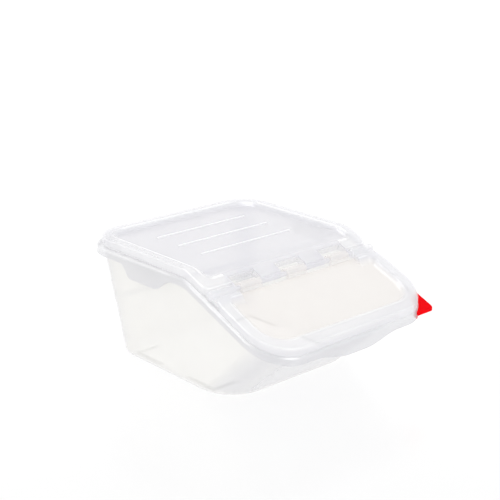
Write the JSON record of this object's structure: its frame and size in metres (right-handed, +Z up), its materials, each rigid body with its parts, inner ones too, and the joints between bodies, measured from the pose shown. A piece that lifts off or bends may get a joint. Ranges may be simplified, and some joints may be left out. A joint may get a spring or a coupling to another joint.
{
  "type": "ingredient bin",
  "caption": "Translucent plastic ingredient bin with a sloping front, a lift-off rear lid, a hinged front flap and a red colour clip on the rim.",
  "frame": {"origin": "middle of the bin's plan on the ground, under the base", "axes": "+Z up, +Y to the back, -Y to the sloping front, +X to the side that carries the clip"},
  "size_m": [0.3996, 0.505, 0.228],
  "materials": {
    "tub": "milky translucent, softly polished",
    "rear_lid": "milky translucent, softly polished",
    "front_flap": "milky translucent, softly polished",
    "colour_clip": "opaque red, glossy"
  },
  "bodies": {
    "tub_body": {"tub": "tub"},
    "lid_body": {"rear_lid": "rear_lid"},
    "flap_body": {"front_flap": "front_flap"},
    "clip_body": {"colour_clip": "colour_clip"}
  },
  "joints": [
    {"name": "lid_lift", "type": "slide", "parent": "tub_body", "child": "lid_body", "axis": [0, 0, 1], "range_m": [0, 0.15]},
    {"name": "flap_hinge", "type": "hinge", "parent": "lid_body", "child": "flap_body", "pos_m": [0, -0.09981, 0.19761], "axis": [-1, 0, 0], "range_deg": [0, 130]},
    {"name": "clip_slide", "type": "slide", "parent": "tub_body", "child": "clip_body", "axis": [0, 0, -1], "range_m": [0, 0.025]}
  ]
}
